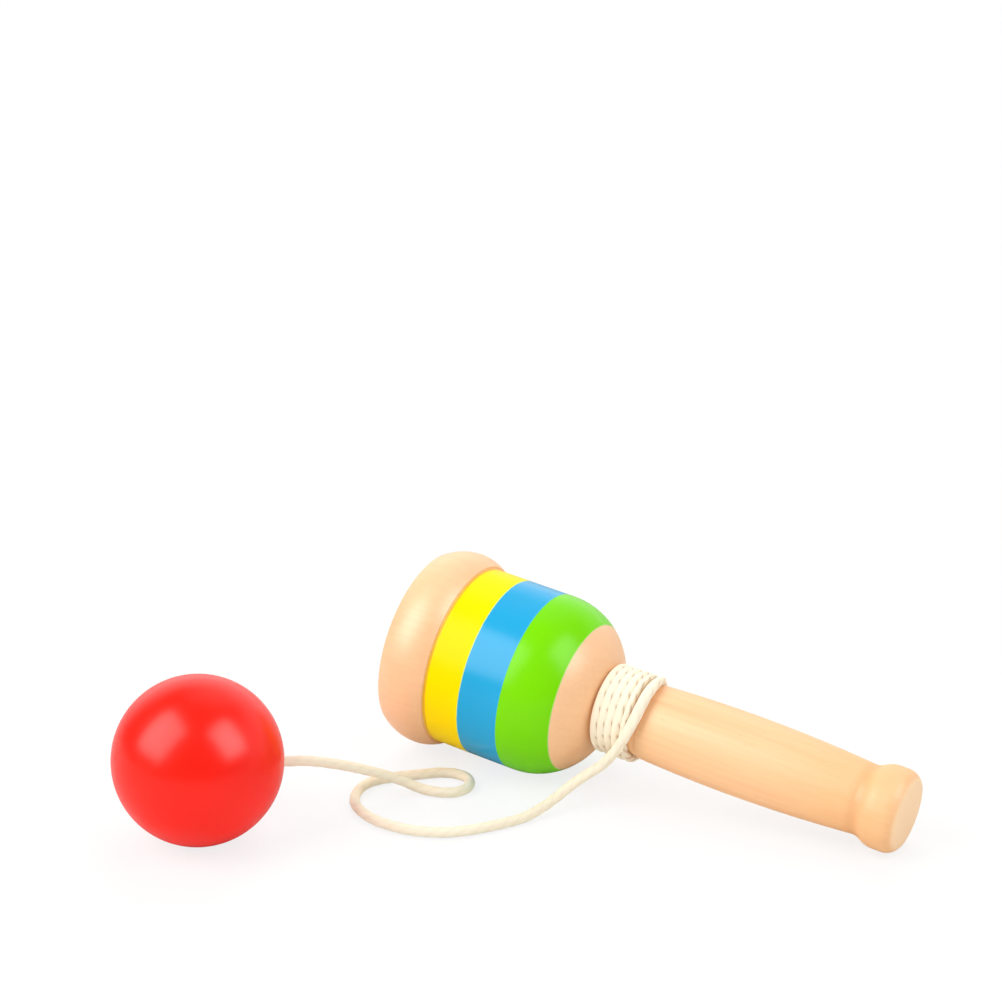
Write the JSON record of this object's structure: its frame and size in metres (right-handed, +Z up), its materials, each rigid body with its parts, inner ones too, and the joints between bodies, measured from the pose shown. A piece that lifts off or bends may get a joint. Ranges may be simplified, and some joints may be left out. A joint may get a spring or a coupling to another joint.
{
  "type": "cup and ball toy",
  "caption": "Turned wooden catching cup with lacquered bands on a round handle, and a lacquered ball tied to its neck by a cotton cord.",
  "frame": {"origin": "on the table, under the middle of the box round the lying toy and its ball", "axes": "+X along the toy from the cup's mouth to the knob, +Y across it away from the ball, +Z up from the table"},
  "size_m": [0.189, 0.1312, 0.0563],
  "materials": {
    "beech_cup": "turned beech under clear satin varnish, fleck and end grain showing",
    "yellow_lacquer": "gloss yellow toy lacquer on turned wood",
    "blue_lacquer": "gloss sky blue toy lacquer on turned wood",
    "green_lacquer": "gloss grass green toy lacquer on turned wood",
    "beech_handle": "turned pale wood with long straight grain under clear satin varnish",
    "cotton_cord": "soft twisted unbleached cotton cord",
    "red_lacquer": "gloss red toy lacquer on a turned wooden ball"
  },
  "bodies": {
    "toy": {"cup": "beech_cup", "yellow_band": "yellow_lacquer", "blue_band": "blue_lacquer", "green_band": "green_lacquer", "handle": "beech_handle", "neck_winding": "cotton_cord"},
    "cord": {"cord": "cotton_cord"},
    "ball": {"ball": "red_lacquer"}
  },
  "joints": [
    {"name": "cord_swing", "type": "hinge", "parent": "toy", "child": "cord", "pos_m": [0.01673, 0.02511, 0.01926], "axis": [0, 0, 1], "range_deg": [0, 120], "deforming": ["cord"]},
    {"name": "ball_spin", "type": "hinge", "parent": "cord", "child": "ball", "pos_m": [-0.07203, -0.04315, 0.0225], "axis": [0.6021, 0.7727, -0.2007], "continuous": true}
  ]
}
